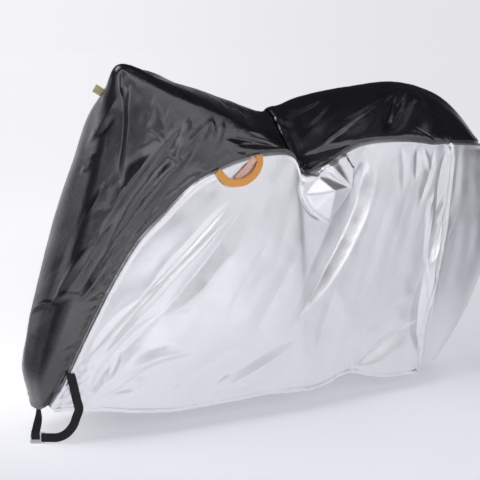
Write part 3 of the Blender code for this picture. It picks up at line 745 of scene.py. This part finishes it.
# ------ the cloth as it hangs
class Cover:
    """The fine grid of the whole cover: its rows, columns, points and outward directions."""

    def __init__(self):
        even = np.linspace(0, LAST_ROW, ROWS_MEASURED)
        coarse = cloth(even, np.arange(0, FAR_HEM + 1, .5))
        longest = np.linalg.norm(np.diff(coarse, axis=0), axis=-1).max(1)
        run = np.concatenate([[0], np.cumsum(longest)])
        self.rows = np.interp(np.linspace(0, run[-1], ROWS_FINE), run, even)
        for seam in (LAP_SEAM, LAP_END, WELT_END, BACK_SEAM):
            self.rows[np.argmin(abs(self.rows - seam))] = seam
        self.columns = np.array([0.0] + [
            start + (end - start) * k / count
            for start, end, count in ACROSS_FINE for k in range(1, count + 1)
        ])
        plain = cloth(self.rows, self.columns)
        out = outward(plain)
        self.measure(plain)
        self.a, self.h, self.facing = seen_from(-1, plain, out)
        self.far_a, self.far_h, self.far_facing = seen_from(1, plain, out)
        self.lift = np.zeros(plain.shape[:2])
        self.shape_folds()
        self.shape_crumples()
        self.shape_seams()
        self.points = plain + out * self.lift[..., None]
        self.out = outward(self.points)

    def measure(self, plain):
        """How far each point is from the hems and the seams, in metres along the cloth."""
        self.along, self.across = lengths(plain, 0), lengths(plain, 1)
        self.across_left = self.across[:, -1:] - self.across
        self.from_hem = np.minimum.reduce([
            self.across, self.across_left, self.along, self.along[-1:] - self.along
        ])
        near, far = (np.argmin(abs(self.columns - k)) for k in (NEAR_SEAM, FAR_SEAM))
        self.from_near = self.across - self.across[:, [near]]  # negative on the near side
        self.from_far = self.across - self.across[:, [far]]  # positive on the far side
        lap, back = (np.argmin(abs(self.rows - row)) for row in (LAP_SEAM, BACK_SEAM))
        self.from_lap = self.along - self.along[lap]
        self.from_back = self.along - self.along[back]
        self.black = (self.from_near > 0) & (self.from_far < 0) & (self.from_back < 0)
        self.u = plain[..., 0] + .6 * plain[..., 1]  # where a point lies in the patterns
        self.v = plain[..., 2] + .8 * plain[..., 1]

    def shape_folds(self):
        """The folds seen from the near and the far side."""
        place = wandering(self.a, self.h, 1)
        near = sum(fold_height(fold, *place) for fold in SIDE_FOLDS + FRONT_FOLDS + REAR_FOLDS)
        self.lift += self.facing * (near + corner_height(self.a, self.h))
        place = wandering(self.far_a, self.far_h, 5)
        self.lift += self.far_facing * sum(fold_height(fold, *place) for fold in FAR_FOLDS)

    def shape_crumples(self):
        """The small crumples of taffeta: drawn out along the folds, and flat facets where it is slack."""
        u, v, black = self.u, self.v, self.black
        tight = (self.h < TIGHT_BELOW + .03 * waves(self.a, self.h, .03, 9)) & (self.a < TIGHT_LEFT_OF)
        slack = ~black * hump(np.hypot(self.a - SLACK_AT[0], self.h - SLACK_AT[1]), SLACK_REACH)
        strength = np.select(
            [self.from_back > 0, black & (self.from_lap > 0), black & tight & (self.facing > 0), black],
            [CRUMPLED_BACK, CRUMPLED_REAR, CRUMPLED_TIGHT, CRUMPLED_FRONT],
            CRUMPLED_SIDE + CRUMPLED_SLACK * slack,
        )
        self.lift += strength * crumpled(u, v, LONG_CRUMPLES)
        self.lift += strength * crumpled(u, v, SHORT_CRUMPLES, .004 * waves(u, v, .02, 12))
        self.lift += slack * crumpled(u, v, SLACK_CRUMPLES)
        self.lift += sum(deep * waves(u, v, size, seed) for deep, size, seed in SOFT_WAVES)
        round_fan = FAN_REACH * np.arctan2(FAN[1] - v, FAN[0] - u)
        out_of_fan = np.hypot(FAN[0] - u, FAN[1] - v) / FAN_STRETCH
        self.lift += np.where(black, FAN_BLACK, FAN_SILVER) * waves(round_fan, out_of_fan, FAN_WAVE, 16)

    def shape_seams(self):
        """Seams drawn in between soft rolls, with short puckers across them, and the hem's doubled edge."""
        sides = np.minimum(abs(self.from_near), abs(self.from_far))
        between = ease(self.from_near, *SEAM_FADES) * ease(-self.from_far, *SEAM_FADES)
        for away, run, weight in (
            (sides, self.along, 1),
            (abs(self.from_back), self.from_near, between),
            (abs(self.from_lap), self.from_near, between),
        ):
            self.lift += weight * self.seam_height(away, run)
        edge = self.from_hem
        run = np.where(self.from_near < -.05, self.along, self.from_near)
        self.lift += doubled(edge, HEM_TURN, HEM_STEP, HEM_GROOVE)
        self.lift += HEM_RIPPLE * waves(run, 5.1, .016, 24) * hump(edge, RIPPLE_REACH, 1.5)
        self.lift += HEM_WAVE * waves(run, edge, .055, 25) * hump(edge, WAVE_REACH, 1.5)

    def seam_height(self, away, run):
        """How far a seam lifts the cloth, at those distances away from it and along it."""
        roll = SEAM_ROLL * np.where(self.black, BLACK_ROLL, 1) * hump(away - SEAM_ROLL_AT, SEAM_ROLL_WIDE)
        slant = run + .5 * away
        ripple = waves(slant, 3.3, .011, 21) + .6 * waves(slant, 7.7, .006, 22)
        patchy = np.clip(.4 + .8 * waves(run, 1.7, .09, 23), .1, 1)
        fading = hump(away, PUCKER_REACH, 1.5) * ease(away, 0, .006)
        puckers = PUCKER * np.where(self.black, 1, SILVER_PUCKER) * patchy * ripple * fading
        return roll + puckers - SEAM_DIP * hump(away, SEAM_DIP_WIDE)

    def part(self, first_row, last_row, first_column, last_column):
        """The slices of the grid between those rows and columns."""
        def between(values, first, last):
            inside = np.flatnonzero((values >= first - 1e-9) & (values <= last + 1e-9))
            return slice(inside[0], inside[-1] + 1)

        return between(self.rows, first_row, last_row), between(self.columns, first_column, last_column)

    def uv(self, where):
        return np.stack([self.along[where], self.from_near[where]], -1)


def welt(cover):
    """The rear panel's doubled front edge: it lies over the front panel, and ends in a sewn groove."""
    over = WELT_LIFT * (1 - ease(cover.from_lap, *WELT_FALLS))
    return over + doubled(cover.from_lap, WELT_WIDE, WELT_STEP, WELT_GROOVE)


def on_cloth(cover, row, column, lift):
    """A point that far off the folded cloth at one row and column, and the cloth's outward direction."""
    i, j = np.searchsorted(cover.rows, row), np.searchsorted(cover.columns, column)
    i, j = min(max(i, 1), len(cover.rows) - 1), min(max(j, 1), len(cover.columns) - 1)
    f = (row - cover.rows[i - 1]) / (cover.rows[i] - cover.rows[i - 1])
    g = (column - cover.columns[j - 1]) / (cover.columns[j] - cover.columns[j - 1])

    def here(grid):
        line = grid[i - 1] * (1 - f) + grid[i] * f
        return line[j - 1] * (1 - g) + line[j] * g

    out = unit(here(cover.out))
    return here(cover.points) + out * lift, out


def level_line(cover, distance, value, lines, axis=0):
    """The line on the cloth where a grid of distances has that value: its points and outward directions.

    It crosses the given rows, or with axis 1 the given columns, at one point each.
    """
    distance, place, out = (
        np.swapaxes(grid, 0, axis)[lines] for grid in (distance, cover.points, cover.out)
    )
    here = distance - value
    j = (here[:, :-1] * here[:, 1:] <= 0).argmax(1)
    i = np.arange(len(j))
    f = (here[i, j] / (here[i, j] - here[i, j + 1] + 1e-12))[:, None]
    return place[i, j] * (1 - f) + place[i, j + 1] * f, out[i, j]


def buckle_axes():
    """The buckle's right, its up and the way it faces, as unit vectors."""
    right = Vector((cos(EYE_HEADING), -sin(EYE_HEADING), 0))
    back = Vector((sin(EYE_HEADING), cos(EYE_HEADING), 0))
    face = Vector((0, 0, sin(BUCKLE_LEAN))) - back * cos(BUCKLE_LEAN)
    return right, face.cross(right), face


def on_buckle(right, up, out):
    return np.array(BUCKLE_AT) + sum(np.array(axis) * d for axis, d in zip(buckle_axes(), (right, up, out)))


def sewn(cover, route):
    """The points of a strap that lies on the cloth, and which way it faces at each."""
    at = [on_cloth(cover, *place) for place in route]
    return [point for point, _ in at], [out for _, out in at]


def add_straps(cover, surface):
    """The two hem straps: sewn to the cloth, then loose, then threaded through the buckle."""
    face = tuple(buckle_axes()[2])
    for name, on_hem, loose, loose_faces, threaded, slant in (
        ("near_strap", NEAR_STRAP_SEWN, NEAR_STRAP_LOOSE, [face] * 4, NEAR_STRAP_THREADED, NEAR_STRAP_SLANT),
        ("front_strap", FRONT_STRAP_SEWN, FRONT_STRAP_LOOSE, FRONT_STRAP_FACES, FRONT_STRAP_THREADED, 0),
    ):
        centres, faces = sewn(cover, on_hem)
        centres += [*loose, *(on_buckle(*place) for place in threaded)]
        faces += [*loose_faces, *[face] * len(threaded)]
        strap = tape(name + "_tape", centres, faces, WEBBING, WEBBING_THICK, 6, surface, slant)
        placed(strap, "black_webbing", name)


def add_loops(cover, orange, painted_inner_face, yellow):
    """The loop in the near seam with a paler pink tape along its inner side, which is painted light for the
    thin orange webbing seen from inside, and the tab, whose flat side faces as the buckle does.
    """
    for name, route, width, surface in (
        ("side_loop", LOOP_ROUTE, LOOP_WEBBING, orange),
        # painted light: the paler pink tape stands in for the loop's own inner face with light showing
        # through it
        ("side_loop_lining", INNER_FACE_ROUTE, LOOP_WEBBING * INNER_FACE_SHARE, painted_inner_face),
    ):
        loop = tape(name + "_tape", *sewn(cover, route), width, WEBBING_THICK, 8, surface)
        placed(loop, "orange_webbing", name)
    root, out = on_cloth(cover, *TAB_AT)
    tab = tape("front_tab_tape", [root + out * TAB_LENGTH * k / 3 for k in range(4)],
               [tuple(buckle_axes()[2])] * 4, LOOP_WEBBING, TAB_THICK, 4, yellow)
    placed(tab, "yellow_webbing", "front_tab")


def add_stitches(cover, light, dark):
    """Lines of stitches beside the seams, along the doubled edge of the lap and on the hem."""
    rows = np.arange(len(cover.rows))
    before_back = rows[cover.rows < BACK_SEAM]
    top = cover.part(0, LAST_ROW, NEAR_SEAM, FAR_SEAM)[1]
    across = np.arange(top.start + STITCHES_END, top.stop - STITCHES_END)
    black = [
        level_line(cover, cover.from_near, SEAM_STITCHES, before_back),
        level_line(cover, cover.from_far, -SEAM_STITCHES, before_back),
    ]
    for away in WELT_STITCHES:
        points, outs = level_line(cover, cover.from_lap, away, across, axis=1)
        black.append((points + outs * WELT_STITCHES_LIFT, outs))
    silver = [
        level_line(cover, cover.across, HEM_STITCHES, rows),
        level_line(cover, cover.across_left, HEM_STITCHES, rows),
        level_line(cover, cover.from_back, SEAM_STITCHES, across, axis=1),
    ]
    placed(stitches("black_stitches", black, dark), None)
    placed(stitches("silver_stitches", silver, light), None)


# ------ the studio
def add_camera():
    data = bpy.data.cameras.new("camera")
    data.lens, data.sensor_width = CAMERA_LENS_MM, SENSOR_MM
    data.clip_start, data.clip_end = CAMERA_CLIP
    camera = linked("camera", data)
    camera.location = Vector(EYE) - Vector(SADDLE)
    camera.rotation_euler = (pi / 2 + CAMERA_PITCH, 0, -EYE_HEADING)
    bpy.context.scene.camera = camera


def add_softbox(name, location, target, size, power):
    data = bpy.data.lights.new(name, "AREA")
    data.shape, data.size, data.size_y = "RECTANGLE", *size
    data.energy, data.color = power, LAMP
    lamp = linked(name, data)
    lamp.location = location
    lamp.visible_camera = False
    lamp.rotation_euler = (Vector(target) - Vector(location)).to_track_quat("-Z", "Y").to_euler()


def add_world():
    """A pale studio wall low down all round behind the cover, and a dim room in front of it and above it."""
    world = bpy.data.worlds.new("studio")
    bpy.context.scene.world = world
    world.use_nodes = True
    tree = world.node_tree
    way = node(tree, "ShaderNodeSeparateXYZ", {0: node(tree, "ShaderNodeTexCoord").outputs["Generated"]})
    right, back, up = way.outputs
    low = share(tree, up, *WALL_TOP)
    behind = calc(tree, "MULTIPLY", share(tree, back, *WALL_BEHIND), low)
    wall = mixed(tree, share(tree, right, *PICTURE_SIDES), WALL, WALL_RIGHT)
    lit = mixed(tree, behind, mixed(tree, low, ROOM_ABOVE, ROOM), wall)
    tree.links.new(lit, tree.nodes["Background"].inputs[0])


def floor_glow(tree):
    """The colour that the floor glows in, from zone to zone."""
    spot = node(tree, "ShaderNodeTexCoord").outputs["Object"]
    from_eye = vector(tree, "SUBTRACT", spot, (EYE[0] - SADDLE[0], EYE[1] - SADDLE[1], 0)).outputs[0]
    way = vector(tree, "NORMALIZE", from_eye).outputs[0]
    side = node(tree, "ShaderNodeSeparateXYZ", {0: way}).outputs[0]
    away = vector(tree, "DOT_PRODUCT", spot, (sin(EYE_HEADING), cos(EYE_HEADING), 0)).outputs["Value"]
    x = node(tree, "ShaderNodeSeparateXYZ", {0: spot}).outputs[0]
    left = calc(tree, "MULTIPLY", share(tree, side, *LEFT_SIDE), share(tree, away, *LEFT_AWAY))
    far = mixed(tree, share(tree, side, *PICTURE_SIDES), GLOW_FAR, GLOW_FAR_RIGHT)
    glow = mixed(tree, share(tree, away, *FAR_AWAY), mixed(tree, left, GLOW_NEAR, GLOW_LEFT), far)
    front = calc(tree, "MULTIPLY", share(tree, away, *FRONT_AWAY), share(tree, x, *FRONT_STARTS_X))
    front = calc(tree, "MULTIPLY", front, share(tree, x, *FRONT_ENDS_X))
    glow = mixed(tree, front, glow, GLOW_FRONT)
    right = calc(tree, "MULTIPLY", share(tree, side, *RIGHT_SIDE), share(tree, away, *RIGHT_AWAY))
    outside = calc(tree, "ADD", right, share(tree, side, *BEYOND_LEFT_SIDE))
    outside = calc(tree, "MULTIPLY", outside, share(tree, away, *OUTSIDE_AWAY))
    glow = mixed(tree, outside, glow, GLOW_OUTSIDE)
    return mixed(tree, share(tree, away, *EYE_AWAY), glow, GLOW_OUTSIDE)


def add_studio():
    """The floor runs into the wall: its glow grows to the wall's own brightness with the distance behind."""
    bpy.ops.mesh.primitive_plane_add(size=FLOOR_SIZE, location=(0, 0, -SADDLE[2]))
    floor = bpy.context.object
    floor.name = "floor"
    surface, tree, shader = new_material("pale_floor", FLOOR, .7, Specular_IOR_Level=.1,
                                         Emission_Strength=1.0)
    tree.links.new(floor_glow(tree), shader.inputs["Emission Color"])
    floor.data.materials.append(surface)
    add_world()
    for softbox in SOFTBOXES:
        add_softbox(*softbox)
    bpy.context.scene.view_settings.view_transform = "Standard"


# ------ everything together
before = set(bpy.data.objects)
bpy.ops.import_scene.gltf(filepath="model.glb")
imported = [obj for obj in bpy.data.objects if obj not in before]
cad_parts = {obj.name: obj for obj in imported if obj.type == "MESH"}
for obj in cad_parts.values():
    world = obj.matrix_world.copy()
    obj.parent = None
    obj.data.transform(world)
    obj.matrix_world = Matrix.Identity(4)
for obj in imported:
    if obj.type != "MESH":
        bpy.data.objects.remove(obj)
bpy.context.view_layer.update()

black = cloth_material("black_cloth", (.004, .004, .006), (.006, .006, .008), .28, .16,
                       Specular_IOR_Level=.95, IOR=1.63)
silver = cloth_material("silver_cloth", (.87, .87, .89), (.93, .93, .95), .36, .1, Metallic=.92)
black_tape = webbing_material("black_webbing", (.012, .012, .015), (.006, .006, .008))
orange_tape = webbing_material("orange_webbing", (1.0, .52, .15), (.95, .4, .1))
# painted light: paler pink for the loop's inner face, where light shows through the thin orange webbing
painted_inner_face_tape = webbing_material("painted_inner_face_webbing", (1.0, .66, .52), (.95, .52, .4))
yellow_tape = webbing_material("yellow_webbing", (1.0, .93, .52), (.88, .8, .42))
silver_thread = marked_material("silver_thread", (.6, .6, .62), .6, (2500.0, 1.0), .5)
black_thread = marked_material("black_thread", (.012, .012, .014), .6, (2500.0, 1.0), .5)
clear = marked_material("clear_plastic", (.8, .8, .82), .25, (400.0, 3.0), .15, (.18, .42),
                        Transmission_Weight=.35, IOR=1.49)

add_camera()
cover = Cover()

PANELS = (
    ("cover_front", "front_top_panel", black, "black_cloth", (0, LAP_END, NEAR_SEAM, FAR_SEAM)),
    ("cover_rear", "rear_top_panel", black, "black_cloth", (LAP_SEAM, BACK_SEAM, NEAR_SEAM, FAR_SEAM)),
    ("cover_back", "back_panel", silver, "silver_cloth", (BACK_SEAM, LAST_ROW, NEAR_SEAM, FAR_SEAM)),
    ("cover_near_side", "near_side_panel", silver, "silver_cloth", (0, LAST_ROW, 0, NEAR_SEAM)),
    ("cover_far_side", "far_side_panel", silver, "silver_cloth", (0, LAST_ROW, FAR_SEAM, FAR_HEM)),
)
for name, replaced, surface, slot, span in PANELS:
    where = cover.part(*span)
    points = cover.points[where]
    if name == "cover_rear":
        points = points + cover.out[where] * welt(cover)[where][..., None]
    piece = add_grid(name, points, cover.uv(where), surface)
    placed(piece, slot, replaced)

add_straps(cover, black_tape)
add_loops(cover, orange_tape, painted_inner_face_tape, yellow_tape)
add_stitches(cover, silver_thread, black_thread)
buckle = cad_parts["buckle"]
buckle.data.materials.clear()
buckle.data.materials.append(clear)

add_studio()
